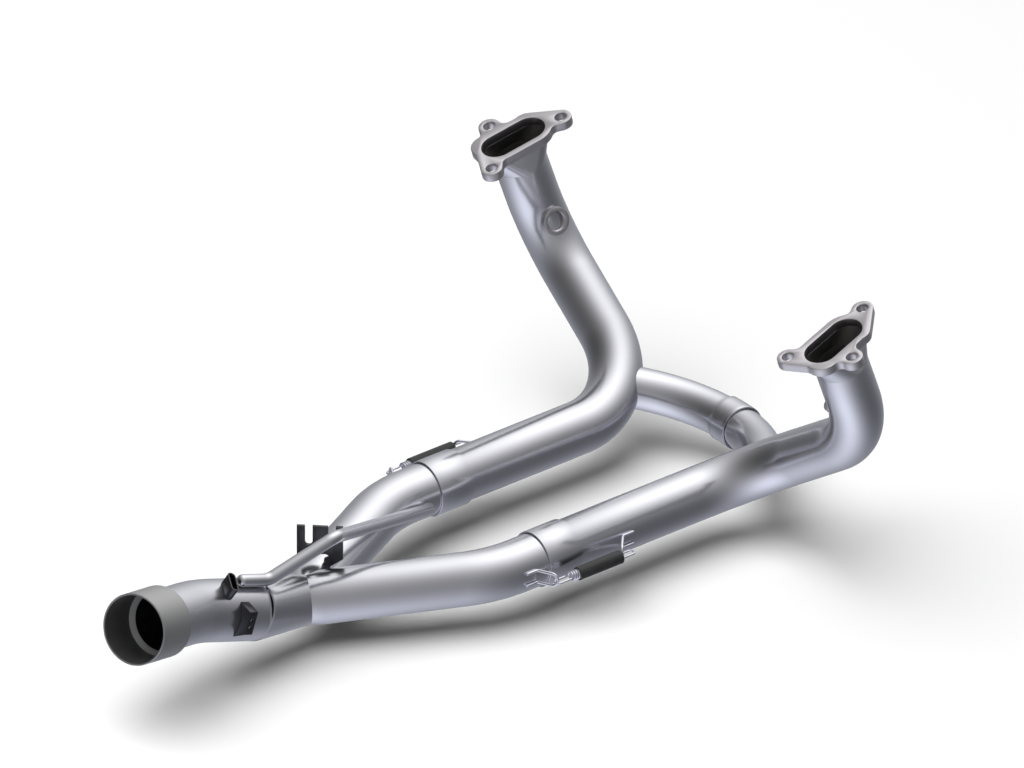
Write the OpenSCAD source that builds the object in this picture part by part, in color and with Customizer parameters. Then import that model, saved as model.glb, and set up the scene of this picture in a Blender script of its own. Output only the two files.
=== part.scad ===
// Two-into-one exhaust link pipe for a flat twin motorcycle.
// Two headers come down from the ports, a crossover joins them, and two slip-jointed
// branches merge into one collector with an outlet sleeve at the rear.
// Modelled with X = 0 on the mid-plane, Y = 0 at the slip joints, +Y forward and the
// straight pipes along Y at Z = 0, then moved so that the outlet's mouth is the origin.

/* [Pipes] */
// Outside diameter of the header and branch pipes
pipe_od = 45; // [43:0.5:47]
// Wall of every pipe
pipe_wall = 1.5; // [1.2:0.1:2]
// Distance from the mid-plane to the axis of each straight pipe
pipe_offset = 71.6; // [68:0.1:76]

/* [Slip joints] */
// Outside diameter of the expanded end of each header
sleeve_od = 48.2; // [48:0.1:51]
// Length of the expanded end
sleeve_l = 32; // [26:0.5:38]
// Length of the cone from the expanded end down to the pipe
swage_l = 3; // [2:0.5:6]
// Length of branch pipe inside the expanded end
slip_l = 30; // [20:0.5:32]

/* [Headers] */
// From the slip joint to the corner of the first bend
header_run = 231.5; // [222:0.5:240]
// Centreline radius of the first bend
bend_1_r = 73.5; // [66:0.5:77]
// Centreline radius of the second bend
bend_2_r = 80.3; // [72:0.1:84]
// Sideways distance of the port from the mid-plane
port_offset = 211.4; // [200:0.1:220]
// Distance of the port ahead of the slip joint
port_ahead = 201.1; // [192:0.1:208]
// Height of the port face over the pipe axis
port_height = 198.3; // [190:0.1:206]
// Lean of the pipe below the port, rearward as it rises
leg_lean = 19.3; // [15:0.1:23]
// From the corner of the second bend up to the port face
leg_run = 106.9; // [100:0.1:112]
// From the start of the second bend down to the weld in the leg
weld_run = 12; // [6:0.5:20]
// From the end of the round pipe up to the port face
neck_run = 25; // [20:0.5:29]

/* [Flanges] */
// Thickness of each flange plate
flange_t = 8; // [6:0.5:10]
// Length of each flange plate, front to rear
flange_l = 100; // [92:1:108]
// Lean of the flange plate about the sideways axis
flange_lean = 15.1; // [12:0.1:18]
// Length of the oblong port
port_l = 58; // [54:0.5:64]
// Width of the oblong port
port_w = 28; // [24:0.5:30]
// Turn of the port in the plane of the flange
port_turn = 8; // [4:0.5:11]
// Width of plate left round the port
port_land = 5.7; // [4.5:0.1:7]
// Diameter of the stud holes
stud_d = 10; // [8:0.5:11]
// Radius of the ears round the stud holes
ear_r = 9.2; // [8:0.1:10.5]
// Radius of the hollow corners between the ears
ear_fillet = 6; // [3:0.5:9]

/* [Sensor bosses] */
// Outside diameter of each boss
boss_d = 24; // [22:0.5:27]
// Bore of the boss, for an M18 x 1.5 thread
boss_bore = 16.9; // [15:0.1:18]
// Height of the boss face over the pipe's centreline
boss_face = 26; // [25:0.5:30]
// Place of the boss along the second bend, in degrees from its start
boss_at = 39.5; // [32:0.5:44]
// Turn of the boss round the pipe, forward from the inside of the bend
boss_turn = 12; // [0:1:20]

/* [Crossover] */
// Outside diameter of the crossover
cross_od = 35.5; // [34:0.5:37]
// Centreline radius of the crossover's bend
cross_r = 99.9; // [88:0.1:103]
// Angle of the crossover's straight ends to the sideways axis
cross_angle = 58.6; // [56:0.1:60]
// Dip of the crossover's plane ahead of the headers
cross_dip = 16; // [10:0.5:20]
// Place of the crossover along each header's first bend, in degrees
cross_at = 47; // [43:0.5:51]
// How far the long side reaches past the mid-plane
cross_past = 10; // [4:0.5:16]
// Length of the short side inside the long side
cross_slip = 18; // [14:0.5:24]

/* [Branches] */
// From the slip joint back to the corner of the branch bend
branch_run = 42; // [36:0.5:48]
// Centreline radius of the branch bend
branch_r = 105; // [80:1:130]
// Distance of each branch mouth from the mid-plane
mouth_offset = 2.5; // [1:0.1:4]
// Distance of each branch mouth behind the slip joint
mouth_back = 180.6; // [172:0.1:190]
// Drop of each branch mouth below the pipe axis
mouth_drop = 3.4; // [2:0.1:5]
// Length of the tapered end of each branch
taper_l = 10; // [6:0.5:14]
// How much the tapered end loses in radius
taper_in = 1.2; // [0.6:0.1:1.8]

/* [Collector] */
// Outside diameter of the collector pipe
body_od = 52; // [50:0.5:54]
// Distance of the merge's rear rim behind the slip joint
rim_back = 236; // [230:0.5:242]
// Height of the rim's centre over the pipe axis
rim_height = 6; // [4:0.5:8]
// Radius of the merge's two shoulders at its rear rim
shoulder_r = 20; // [18:0.5:22]
// Distance of each shoulder's centre from the mid-plane
shoulder_side = 8; // [6:0.5:10]
// Height of each shoulder's centre over the rim's centre
shoulder_up = 5; // [3:0.5:7]
// How far the rim stands out round the rest of the collector pipe
rim_step = 0.3; // [0.2:0.1:1]
// Thickness of the rear wall of the merge
rim_t = 2; // [1.5:0.1:3]
// Distance of the collector's bend behind the slip joint
body_back = 295.2; // [290:0.1:300]
// Height of the collector's bend over the pipe axis
body_height = 26.1; // [24:0.1:29]
// Centreline radius of the collector's bend
body_r = 100; // [80:1:130]
// From the corner of the collector's bend to the outlet sleeve
tail_l = 49.3; // [46:0.1:60]
// Turn of the tail toward the right
tail_turn = 17.3; // [10:0.1:22]
// Rise of the tail
tail_rise = 16; // [12:0.5:20]

/* [Outlet sleeve] */
// Outside diameter of the outlet sleeve
outlet_od = 60; // [58:0.5:62]
// Length of the outlet sleeve
outlet_l = 40; // [34:0.5:46]
// Length of the cone inside the front end of the sleeve
outlet_cone = 4; // [3:0.5:7]

/* [Springs] */
// Wire of each spring
spring_wire = 1.8; // [1.6:0.1:2]
// Outside diameter of each spring's coil
spring_od = 9; // [8.4:0.1:10]
// Spacing of the coils
spring_pitch = 2.25; // [2.2:0.05:3]
// Distance from each spring's axis to its pipe's axis
spring_offset = 39.4; // [38:0.1:43]
// Drop of each spring below the pipe axis
spring_drop = 1; // [0:0.1:2]
// How far the coil starts ahead of the slip joint
coil_from = 8; // [7:0.5:12]
// Length of the coil
coil_l = 50; // [46:0.5:54]
// Distance from the coil to the outside of the loop at each end
loop_l = 16.5; // [14:0.5:19]
// Outside diameter of the rubber cover
cover_od = 11.6; // [11:0.1:12.6]
// How far the rubber cover starts ahead of the slip joint
cover_from = 15; // [12:0.5:18]
// Length of the rubber cover
cover_l = 45; // [38:0.5:48]

/* [Spring hooks] */
// Wire of the hooks welded to the pipes
hook_wire = 2.6; // [2.2:0.1:2.8]
// Distance between the two feet of a hook
hook_w = 11; // [9:0.5:13]
// Length of each foot along the pipe
foot_l = 11; // [8:0.5:14]
// From the knee of the rear hook to its nose, along the pipe
rear_reach = 8.5; // [6:0.5:11]
// From the knee of the front hook to its nose, along the pipe
front_reach = 14; // [8:0.5:16]

/* [Brace rod] */
// Diameter of the brace rod
rod_d = 10.8; // [9.5:0.1:12]
// Distance of the rod's front tip behind the slip joint
rod_front = 14.4; // [12:0.1:18]
// Radius of the rod's bends
rod_r = 16; // [12:0.5:20]
// Distance of the rod's high corner behind the slip joint
rod_high_back = 165.5; // [160:0.1:170]
// Distance of the rod's high corner to the right of the mid-plane
rod_high_right = 20.3; // [18:0.1:24]
// Height of the rod's high corner over the pipe axis
rod_high = 58; // [54:0.1:62]
// Distance of the rod's low corner behind the slip joint
rod_low_back = 227.5; // [224:0.1:230]
// Distance of the rod's low corner to the right of the mid-plane
rod_low_right = 10.6; // [8:0.1:12]
// Distance of the rod's rear end behind the slip joint
rod_end_back = 257.6; // [250:0.1:264]
// Distance of the rod's rear end to the right of the mid-plane
rod_end_right = 9.1; // [7:0.1:11]

/* [Cable bracket] */
// Width of the forked plate
fork_w = 37.9; // [34:0.1:42]
// Height of its top edge over the pipe axis
fork_top = 53; // [51:0.1:56]
// Thickness of the plate
fork_t = 3; // [2:0.1:4]
// Width of each slot
slot_w = 6.3; // [5:0.1:7]
// Depth of each slot
slot_deep = 17.7; // [14:0.1:20]
// Turn of the plate from the sideways axis
fork_turn = 47.2; // [42:0.1:52]
// Distance of its left edge behind the slip joint
fork_back = 173.9; // [170:0.1:178]
// Distance of its left edge from the mid-plane
fork_left = 19.8; // [17:0.1:23]

/* [Collector brackets] */
// Sheet of the channel bracket
sheet_t = 2; // [1.5:0.1:3]
// Depth of the channel's flanges
channel_d = 8.6; // [7:0.1:11]
// Reach of the channel out from the collector's axis
channel_reach = 34.4; // [32:0.1:38]
// Height of the channel at its root
channel_h = 33.2; // [30:0.1:36]
// Distance of the channel behind the merge's rim, along the collector
channel_at = 34; // [28:0.5:38]
// Diameter of the small holes in the channel
channel_hole = 3; // [2:0.1:4]
// Length of the oblong socket
socket_l = 20; // [17:0.5:23]
// Width of the oblong socket
socket_w = 7.5; // [6.5:0.1:9]
// Wall of the oblong socket
socket_wall = 1.2; // [1:0.1:1.8]
// Height of the oblong socket over the collector
socket_h = 10; // [8:0.5:13]
// Distance of the socket behind the merge's rim, along the collector
socket_at = 43.3; // [40:0.1:46]
// Angle of the socket round the collector, up from the right side
socket_angle = 64.7; // [60:0.1:68]

/* [Fits] */
// Clearance between slip-fitted parts, on the radius
slip_gap = 0.25; // [0.15:0.05:0.4]
// Gap left between parts that touch or are welded face to face
seat_gap = 0.05; // [0.02:0.01:0.1]

/* [Hidden] */
$fn = 96;
hull_fn = 48;

// Colours
pipe_grey = "#b9b9c2";
plate_grey = "#a8a3a3";
sleeve_grey = "#8c8c8c";
bracket_grey = "#4b4b4e";
wire_grey = "#d2d2da";
rubber_black = "#1f1f1f";

// Radii that several parts share
pipe_r = pipe_od / 2;
pipe_ir = pipe_r - pipe_wall;
sleeve_r = sleeve_od / 2;
sleeve_ir = pipe_r + slip_gap;
body_or = body_od / 2;
body_ir = body_or - pipe_wall;
cross_or = cross_od / 2;
cross_ir = cross_or - pipe_wall;
cross_sleeve_ir = cross_or + slip_gap;
rod_rad = rod_d / 2;
hook_r = hook_wire / 2;
// Overrun of every cut past the face that it opens
cut = pipe_wall;
// Size of the blocks that trim a part at the mid-plane
far = 2 * port_offset;
// A straight laps over the end of a bend by a hair, and is a hair thicker, so that the two join
lap = pipe_wall / 15;
skin = pipe_wall / 300;

// Directions and places of the headers, on the right side
ahead = [0, 1, 0];
port_face = [port_offset, port_ahead, port_height];
pipe_up = [0, -sin(leg_lean), cos(leg_lean)];
flange_up = [0, -sin(flange_lean), cos(flange_lean)];
corner_1 = [pipe_offset, header_run, 0];
corner_2 = port_face - leg_run * pipe_up;
leg_dir = unit(corner_2 - corner_1);
header_start = [pipe_offset, sleeve_l + swage_l, 0];
header_end = port_face - neck_run * pipe_up;
leg_weld = corner_2 - (bend_cut(leg_dir, pipe_up, bend_2_r) + weld_run) * leg_dir;

// Places of the crossover, from its left end to its corner on the mid-plane
cross_end = bend_point(corner_1, ahead, leg_dir, bend_1_r, cross_at);
cross_fore = [0, cos(cross_dip), -sin(cross_dip)];
cross_corner = [0, cross_end.y, cross_end.z] + cross_end.x * tan(cross_angle) * cross_fore;
cross_left = [-cross_end.x, cross_end.y, cross_end.z];
cross_dir = unit(cross_corner - cross_left);
cross_back = [cross_dir.x, -cross_dir.y, -cross_dir.z];

// Place of the sensor boss on the second bend
boss_on = bend_point(corner_2, leg_dir, pipe_up, bend_2_r, boss_at);
boss_in = unit(bend_centre(corner_2, leg_dir, pipe_up, bend_2_r) - boss_on);
boss_dir = cos(boss_turn) * boss_in + sin(boss_turn) * unit(cross(pipe_up, leg_dir));

// Places of the right branch
branch_corner = [pipe_offset, -branch_run, 0];
mouth = [mouth_offset, -mouth_back, -mouth_drop];
mouth_dir = unit(mouth - branch_corner);
mouth_r = pipe_r - taper_in;

// Places of the collector
rim_centre = [0, -rim_back, rim_height];
body_corner = [0, -body_back, body_height];
body_dir = unit(body_corner - rim_centre);
body_up = cross([1, 0, 0], body_dir) * -1;
tail_dir = [sin(tail_turn) * cos(tail_rise), -cos(tail_turn) * cos(tail_rise), sin(tail_rise)];
sleeve_front = body_corner + tail_l * tail_dir;
outlet_mouth = sleeve_front + outlet_l * tail_dir;
outlet_ir = outlet_od / 2 - pipe_wall;

// Places of the right spring, along the pipe
rear_loop = coil_from - loop_l;
rear_nose = rear_loop + spring_wire + hook_r + seat_gap;
front_nose = cover_from + cover_l + hook_r + seat_gap;
coil_r = (spring_od - spring_wire) / 2;
// Radius of the bend from a loop into the coil
lead_r = spring_wire;
lead_angle = asin(lead_r / coil_r);
loop_r = coil_r * cos(lead_angle);

// Unit vector along v
function unit(v) = v / norm(v);

// Angle between two directions
function turn(a, b) = acos(min(1, a * b));

// Length that a bend takes up on each side of its corner
function bend_cut(a, b, r) = r * tan(turn(a, b) / 2);

// Direction from the start of a bend to its centre
function inward(a, b) = unit(b - (a * b) * a);

// Start and centre of the bend from direction a to direction b at a corner
function bend_start(corner, a, b, r) = corner - bend_cut(a, b, r) * a;
function bend_centre(corner, a, b, r) = bend_start(corner, a, b, r) + r * inward(a, b);

// Point of a bend's centreline, some degrees from its start
function bend_point(corner, a, b, r, angle) =
    bend_centre(corner, a, b, r) + r * (sin(angle) * a - cos(angle) * inward(a, b));

// Any direction square to z
function square_to(z) = unit(abs(z.z) < abs(z.x) + abs(z.y) ? cross([0, 0, 1], z) : cross([0, 1, 0], z));

// Placement with its own x, y and z directions
function axes(origin, x, y, z) = [
    [x.x, y.x, z.x, origin.x],
    [x.y, y.y, z.y, origin.y],
    [x.z, y.z, z.z, origin.z],
    [0, 0, 0, 1]
];

// Placement with z along a direction
function facing(origin, z) = axes(origin, square_to(z), cross(z, square_to(z)), z);

// A path with both of its ends moved outward
function longer(path, l) = let (last = len(path) - 1) [
    for (i = [0 : last])
        i == 0 ? path[0] - l * unit(path[1] - path[0])
        : i == last ? path[last] + l * unit(path[last] - path[last - 1])
        : path[i]
];

// Everything is moved so that the outlet's mouth is the origin
module placed() {
    translate(-outlet_mouth) children();
}

// A part of the left side is the mirror image of the right one
module mirrored() {
    mirror([1, 0, 0]) children();
}

// Straight round bar, or a cone, between two points
module bar(from, to, r1, r2) {
    multmatrix(facing(from, unit(to - from))) cylinder(h = norm(to - from), r1 = r1, r2 = r2);
}

// Round bar along a bend, over some degrees of it from a given place
module bend_bar(corner, a, b, bend_r, angle, radius, from = 0) {
    m = inward(a, b);
    multmatrix(axes(bend_centre(corner, a, b, bend_r), -m, a, cross(-m, a)))
        rotate([0, 0, from]) rotate_extrude(angle = angle) translate([bend_r, 0]) circle(r = radius);
}

// Straight round bar whose last stretch tapers
module tapered_bar(from, to, radius, end_l, end_r) {
    l = norm(to - from);
    multmatrix(facing(from, unit(to - from))) rotate_extrude()
        polygon([[0, 0], [radius, 0], [radius, l - end_l], [end_r, l], [0, l]]);
}

// Round bar along a path of corners, with a true arc at each corner
module bent_bar(path, bends, radius) {
    last = len(path) - 1;
    dirs = [for (i = [0 : last - 1]) unit(path[i + 1] - path[i])];
    cuts = [for (i = [0 : last])
        i == 0 || i == last ? 0 : bend_cut(dirs[i - 1], dirs[i], bends[i - 1]) - lap];
    for (i = [0 : last - 1])
        bar(path[i] + cuts[i] * dirs[i], path[i + 1] - cuts[i + 1] * dirs[i], radius + skin, radius + skin);
    for (i = [1 : last - 1])
        bend_bar(path[i], dirs[i - 1], dirs[i], bends[i - 1], turn(dirs[i - 1], dirs[i]), radius);
}

// Keeps the right half of its children, up to a seat at the mid-plane
module right_half(gap = 0) {
    difference() {
        children();
        translate([gap - far, -far, -far]) cube([far, 2 * far, 2 * far]);
    }
}

// Round stock along the right header, from the slip joint over its first bend
module header_bar(radius, over) {
    bent_bar(longer([header_start, corner_1, leg_weld], over), [bend_1_r], radius);
}

// Round stock along the right port bend, from the weld in the leg to the neck
module port_bar(radius, over) {
    bent_bar(longer([leg_weld + seat_gap * leg_dir, corner_2, header_end], over), [bend_2_r], radius);
}

// Crossover, from its left end to some way past the mid-plane
module cross_bar(radius, past) {
    turned = cross_angle + past / cross_r * 180 / PI;
    leg_end = bend_start(cross_corner, cross_dir, cross_back, cross_r);
    bar(cross_left, leg_end + lap * cross_dir, radius + skin, radius + skin);
    bend_bar(cross_corner, cross_dir, cross_back, cross_r, turned, radius);
}

// Expanded end of the crossover's long side, over a length up to some way past the mid-plane
module cross_sleeve(radius, length, past) {
    end = cross_angle + past / cross_r * 180 / PI;
    turned = length / cross_r * 180 / PI;
    bend_bar(cross_corner, cross_dir, cross_back, cross_r, turned, radius, end - turned);
}

// Pipe from the slip joint to the weld in the leg, with its opening for the crossover
module header_tube() {
    color(pipe_grey) difference() {
        union() {
            header_bar(pipe_r, 0);
            bar([pipe_offset, 0, 0], [pipe_offset, sleeve_l, 0], sleeve_r, sleeve_r);
            bar([pipe_offset, sleeve_l, 0], header_start, sleeve_r, pipe_r);
        }
        header_bar(pipe_ir, cut);
        bar([pipe_offset, -cut, 0], [pipe_offset, sleeve_l, 0], sleeve_ir, sleeve_ir);
        bar([pipe_offset, sleeve_l, 0], header_start, sleeve_ir, pipe_ir);
        mirrored() cross_bar(cross_ir, 0);
    }
}

// Pipe from the weld up to the neck, with its opening for the sensor
module port_bend() {
    color(pipe_grey) difference() {
        port_bar(pipe_r, 0);
        port_bar(pipe_ir, cut);
        bar(boss_on, boss_on + boss_face * boss_dir, boss_bore / 2, boss_bore / 2);
    }
}

// Threaded boss on the inside of the second bend, saddled over the pipe
module sensor_boss() {
    color(plate_grey) difference() {
        bar(boss_on, boss_on + boss_face * boss_dir, boss_d / 2, boss_d / 2);
        bar(boss_on, boss_on + (boss_face + cut) * boss_dir, boss_bore / 2, boss_bore / 2);
        port_bar(pipe_r + seat_gap, 0);
    }
}

// Places on the flange, as shares of its length: outward, then forward
port_centre_shares = [-0.0075, 0.005];
stud_shares = [[0.272, -0.027], [-0.13, 0.419], [-0.164, -0.357]];
// The circle that each ear runs into, and its radius, as shares of the same length
root_shares = [[0.12, -0.026], [0.05, 0.2], [0.06, -0.2]];
root_r_shares = [0.09, 0.12, 0.12];
// The wider land outside the rear end of the port
heel_shares = [0.1, -0.2];
heel_r_share = 0.13;

module on_flange() {
    translate(port_face) rotate([flange_lean, 0, 0]) children();
}

// The two ends of the oblong port
module port_ends() {
    translate(flange_l * port_centre_shares) rotate(port_turn)
        for (s = [-1, 1]) translate([0, s * (port_l - port_w) / 2]) children();
}

// Oblong of the port with some margin round it
module port_outline(margin) {
    port_ends() circle(r = port_w / 2 + margin);
    translate(flange_l * port_centre_shares) rotate(port_turn)
        square([port_w + 2 * margin, port_l - port_w], center = true);
}

// Plate outline with an ear at each stud and hollow corners between them
module flange_outline() {
    offset(r = -ear_fillet) offset(delta = ear_fillet) {
        hull() {
            port_outline(port_land);
            translate(flange_l * heel_shares) circle(r = flange_l * heel_r_share);
        }
        for (i = [0 : len(stud_shares) - 1]) hull() {
            translate(flange_l * stud_shares[i]) circle(r = ear_r);
            translate(flange_l * root_shares[i]) circle(r = flange_l * root_r_shares[i]);
        }
    }
}

// Three-stud port flange
module flange() {
    color(plate_grey) on_flange() difference() {
        translate([0, 0, -flange_t]) linear_extrude(flange_t) flange_outline($fn = hull_fn);
        translate([0, 0, -flange_t - cut]) {
            linear_extrude(flange_t + 2 * cut) port_outline(0);
            for (place = stud_shares) translate(flange_l * place)
                cylinder(h = flange_t + 2 * cut, d = stud_d);
        }
    }
}

// Solid between the round pipe end and the oblong under the flange
module neck_solid(round_r, margin, over) {
    hull() {
        multmatrix(facing(header_end + (seat_gap - over) * pipe_up, pipe_up))
            cylinder(h = seat_gap + over, r = round_r, $fn = hull_fn);
        on_flange() translate([0, 0, -flange_t - 2 * seat_gap])
            linear_extrude(seat_gap + over) port_ends() circle(r = port_w / 2 + margin, $fn = hull_fn);
    }
}

// Neck that runs from round to oblong
module neck() {
    color(pipe_grey) difference() {
        neck_solid(pipe_r, pipe_wall, 0);
        neck_solid(pipe_ir, 0, cut);
    }
}

// Long side of the crossover, welded to the left header, with its end expanded over the short side
module crossover_tube() {
    bore_l = cross_slip + swage_l;
    color(pipe_grey) placed() difference() {
        union() {
            cross_bar(cross_or, cross_past - bore_l);
            cross_sleeve(cross_sleeve_ir + pipe_wall, bore_l + pipe_wall, cross_past);
        }
        cross_bar(cross_ir, cross_past + cut);
        cross_sleeve(cross_sleeve_ir, bore_l + cut, cross_past + cut);
        mirrored() header_bar(pipe_r + seat_gap, 0);
    }
}

// Short side of the crossover, welded to the right header and slipped into the long side
module crossover_stub() {
    color(pipe_grey) placed() difference() {
        mirrored() cross_bar(cross_or, cross_slip - cross_past);
        mirrored() cross_bar(cross_ir, cross_slip - cross_past + cut);
        header_bar(pipe_r + seat_gap, 0);
    }
}

// Round stock along the centreline of the right branch, tapered at the mouth
module branch_bar(radius, over) {
    front = [pipe_offset, slip_l + over, 0];
    back = unit(branch_corner - front);
    bend_end = branch_corner + (bend_cut(back, mouth_dir, branch_r) - lap) * mouth_dir;
    bend_from = bend_start(branch_corner, back, mouth_dir, branch_r);
    bar(front, bend_from + lap * back, radius + skin, radius + skin);
    bend_bar(branch_corner, back, mouth_dir, branch_r, turn(back, mouth_dir), radius);
    tapered_bar(bend_end, mouth + over * mouth_dir, radius + skin, taper_l + over, radius - taper_in);
}

// Branch from the slip joint to the mouth, mitred at the mid-plane
module branch_tube() {
    color(pipe_grey) right_half(seat_gap / 2) difference() {
        branch_bar(pipe_r, 0);
        branch_bar(pipe_ir, cut);
    }
}

// Outline of the rim: the collector pipe's round with a shoulder on each side of its top
module rim_outline(inset) {
    circle(r = body_or + rim_step - inset);
    for (s = [-1, 1]) translate([s * shoulder_side, shoulder_up]) circle(r = shoulder_r - inset);
}

// Solid from one branch mouth to the rim
module merge_solid(inset, over, back) {
    hull() {
        multmatrix(facing(mouth + (seat_gap - over) * mouth_dir, mouth_dir))
            cylinder(h = seat_gap + over, r = mouth_r - inset, $fn = hull_fn);
        on_body(-rim_t - back) linear_extrude(rim_t) rim_outline(inset, $fn = hull_fn);
    }
}

// Where the two branches become one, with a flat wall round the collector pipe
module merge_collector() {
    color(pipe_grey) placed() difference() {
        for (s = [0, 1]) mirror([s, 0, 0]) right_half() difference() {
            merge_solid(0, 0, 0);
            merge_solid(pipe_wall, cut, rim_t);
        }
        bar(rim_centre - (rim_t + cut) * body_dir, rim_centre + cut * body_dir, body_ir, body_ir);
    }
}

// Path of the collector pipe, from the merge's rim to the outlet sleeve
body_path = [rim_centre + seat_gap * body_dir, body_corner, sleeve_front - seat_gap * tail_dir];

// Collector pipe with its slight bend to the right
module collector_body() {
    color(pipe_grey) placed() difference() {
        bent_bar(body_path, [body_r], body_or);
        bent_bar(longer(body_path, cut), [body_r], body_ir);
    }
}

// Outlet sleeve that the next silencer or link pipe slips into
module outlet_sleeve() {
    color(sleeve_grey) placed() multmatrix(facing(sleeve_front, tail_dir)) rotate_extrude() polygon([
        [body_ir, 0], [outlet_od / 2, 0], [outlet_od / 2, outlet_l],
        [outlet_ir, outlet_l], [outlet_ir, outlet_cone], [body_ir, pipe_wall / 3]
    ]);
}

// Wire hook with two feet along the pipe and a round nose that holds the spring's loop
module hook(foot_y, knee_y, nose_y) {
    half = hook_w / 2;
    foot_x = sqrt(pow(pipe_r + hook_r + seat_gap, 2) - pow(half, 2));
    side = [for (p = [[foot_x, foot_y], [foot_x, knee_y], [spring_offset, nose_y]]) [p.x + pipe_offset, p.y]];
    path = concat(
        [for (p = side) [p.x, p.y, half]],
        [for (i = [len(side) - 1 : -1 : 0]) [side[i].x, side[i].y, -half]]
    );
    nose_bend = half - seat_gap;
    color(wire_grey) bent_bar(path, [hook_wire, nose_bend, nose_bend, hook_wire], hook_r);
}

// The rear hook is on the branch pipe and the front one on the header
module branch_hook() {
    knee = rear_nose - rear_reach;
    hook(knee - foot_l, knee, rear_nose);
}

module header_hook() {
    knee = front_nose + front_reach;
    hook(knee + foot_l, knee, front_nose);
}

// Points of one end of the spring: a loop in the flat plane, then a bend into the coil
loop_steps = 10;
lead_steps = 3;
function loop_points() = let (loop_y = -loop_l + spring_wire / 2 + loop_r) concat(
    [[-loop_r, -2 * lead_r, 0]],
    [for (i = [0 : loop_steps]) let (a = 180 + 180 * i / loop_steps)
        [loop_r * cos(a), loop_y + loop_r * sin(a), 0]],
    [for (i = [0 : lead_steps - 1]) let (a = 90 * i / lead_steps)
        [loop_r, -lead_r + lead_r * sin(a), lead_r - lead_r * cos(a)]]
);

// Points of the coil from one end's bend to the other's
coil_sides = 12;
coil_turns = round(coil_l / spring_pitch);
coil_span = 360 * coil_turns - 2 * lead_angle;
coil_steps = coil_sides * coil_turns;
function coil_points() = [for (i = [0 : coil_steps]) let (a = lead_angle + coil_span * i / coil_steps)
    [coil_r * cos(a), coil_l * i / coil_steps, coil_r * sin(a)]];

// The front end is the rear one turned half round about the sideways axis
function spring_points() = let (end = loop_points()) concat(
    end,
    coil_points(),
    [for (i = [len(end) - 1 : -1 : 0]) [end[i].x, coil_l - end[i].y, -end[i].z]]
);

// Wire of a given radius swept along points, with its section kept from twisting
module swept_wire(points, radius, sides) {
    last = len(points) - 1;
    dirs = [for (i = [0 : last]) unit(points[min(i + 1, last)] - points[max(i - 1, 0)])];
    first = square_to(dirs[0]);
    across = [for (i = 0, u = first; i <= last;
        i = i + 1, u = i <= last ? unit(u - (u * dirs[i]) * dirs[i]) : u) u];
    rings = [for (i = [0 : last]) for (k = [0 : sides - 1]) let (a = 360 * k / sides)
        points[i] + radius * (cos(a) * across[i] + sin(a) * cross(dirs[i], across[i]))];
    walls = [for (i = [0 : last - 1]) for (k = [0 : sides - 1]) let (n = (k + 1) % sides)
        each [[i * sides + k, (i + 1) * sides + k, i * sides + n],
              [i * sides + n, (i + 1) * sides + k, (i + 1) * sides + n]]];
    caps = [[for (k = [0 : sides - 1]) k], [for (k = [sides - 1 : -1 : 0]) last * sides + k]];
    polyhedron(rings, concat(walls, caps));
}

wire_sides = 6;
module spring() {
    color(wire_grey) translate([pipe_offset + spring_offset, coil_from, -spring_drop])
        swept_wire(spring_points(), spring_wire / 2, wire_sides);
}

// Rubber tube over the middle of the coil
module spring_cover() {
    start = [pipe_offset + spring_offset, cover_from, -spring_drop];
    color(rubber_black) difference() {
        bar(start, start + cover_l * ahead, cover_od / 2, cover_od / 2);
        bore_r = spring_od / 2 + seat_gap;
        bar(start - cut * ahead, start + (cover_l + cut) * ahead, bore_r, bore_r);
    }
}

// Corners of the brace rod: beside the left pipe, over the branches, onto the rim, then the collector
rod_tip = [-pipe_offset + pipe_r + rod_rad + seat_gap, -rod_front, 0];
rod_peak = [rod_high_right, -rod_high_back, rod_high];
rod_dip = over_body(rod_low_right, rod_low_back, rim_reach(rod_low_right) + rod_rad + seat_gap);
rod_end = over_body(rod_end_right, rod_end_back, body_or + rod_rad + seat_gap);

// Reach of the merge's rim from its centre, at some way to the right
function rim_reach(right) =
    norm([right, shoulder_up + sqrt(pow(shoulder_r, 2) - pow(right - shoulder_side, 2))]);

// Point over the collector at a distance from its axis
function over_body(right, back, distance) = [right, -back, rim_height
    + (sqrt(pow(distance, 2) - pow(right, 2)) + (back - rim_back) * body_dir.z) / -body_dir.y];

// Dome on the end of a bar, bulging against the bar's direction, with a small flat at its tip
dome_steps = 8;
dome_turn = 80;
module dome(at, dir, radius) {
    multmatrix(facing(at, dir)) rotate_extrude() polygon(concat(
        [[0, 0]],
        [for (i = [0 : dome_steps]) let (a = dome_turn * i / dome_steps) radius * [cos(a), -sin(a)]],
        [[0, -radius * sin(dome_turn)]]
    ));
}

// Brace rod with a domed front tip
module brace_rod() {
    color(pipe_grey) placed() {
        dome(rod_tip, unit(rod_peak - rod_tip), rod_rad + skin);
        bent_bar([rod_tip, rod_peak, rod_dip, rod_end], [rod_r, rod_r], rod_rad);
    }
}

// Heights of the fork's corners below its top edge, and their places across it, as shares of its width
fork_base_share = 0.71;
hook_shares = [[0.617, 0.683], [0.72, 0.734], [0.591, 0.81], [0.58, 0.873], [0.697, 1], [1, 0.802]];
slot_shares = [0.26, 0.763];

// Outline of the forked plate: two slots open at the top and a hooked foot
module fork_outline() {
    difference() {
        polygon(concat(
            [[0, 0], [0, -fork_w * fork_base_share]],
            [for (p = hook_shares) [p.x * fork_w, -p.y * fork_w]],
            [[fork_w, 0]]
        ));
        for (share = slot_shares) translate([share * fork_w, 0]) {
            translate([0, slot_w / 2 - slot_deep]) circle(d = slot_w);
            translate([-slot_w / 2, slot_w / 2 - slot_deep]) square([slot_w, slot_deep]);
        }
    }
}

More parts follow.
